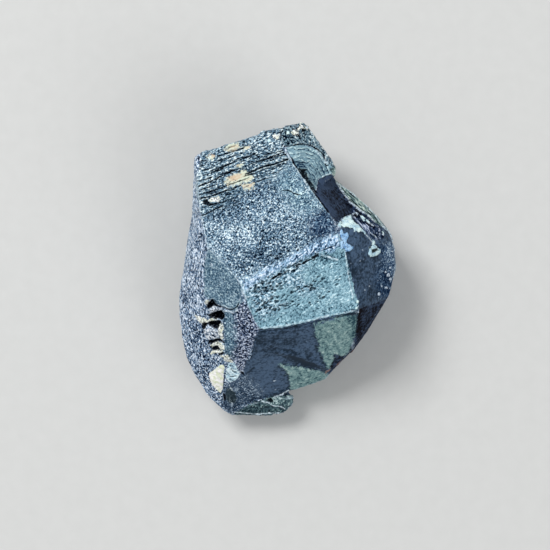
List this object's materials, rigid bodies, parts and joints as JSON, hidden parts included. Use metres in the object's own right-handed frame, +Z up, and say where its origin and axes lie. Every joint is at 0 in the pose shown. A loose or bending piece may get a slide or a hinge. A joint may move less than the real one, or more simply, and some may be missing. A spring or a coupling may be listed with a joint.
{
  "type": "uraninite crystal",
  "caption": "Loose broken crystal of black uraninite with a granular striated face, a bright band, dark glassy breaks and pale crusts, lying on a flat fracture face.",
  "frame": {"origin": "centre of the flat face it rests on, below the middle of the crystal's box", "axes": "+Y along the crystal to its upper end, +X to its right flank, +Z up out of the resting face"},
  "size_m": [0.0178, 0.024, 0.0125],
  "materials": {
    "uraninite": "granular blue-black stone, glassy where it broke, with small pale crusts"
  },
  "bodies": {
    "root": {"uraninite_crystal": "uraninite"}
  },
  "joints": []
}
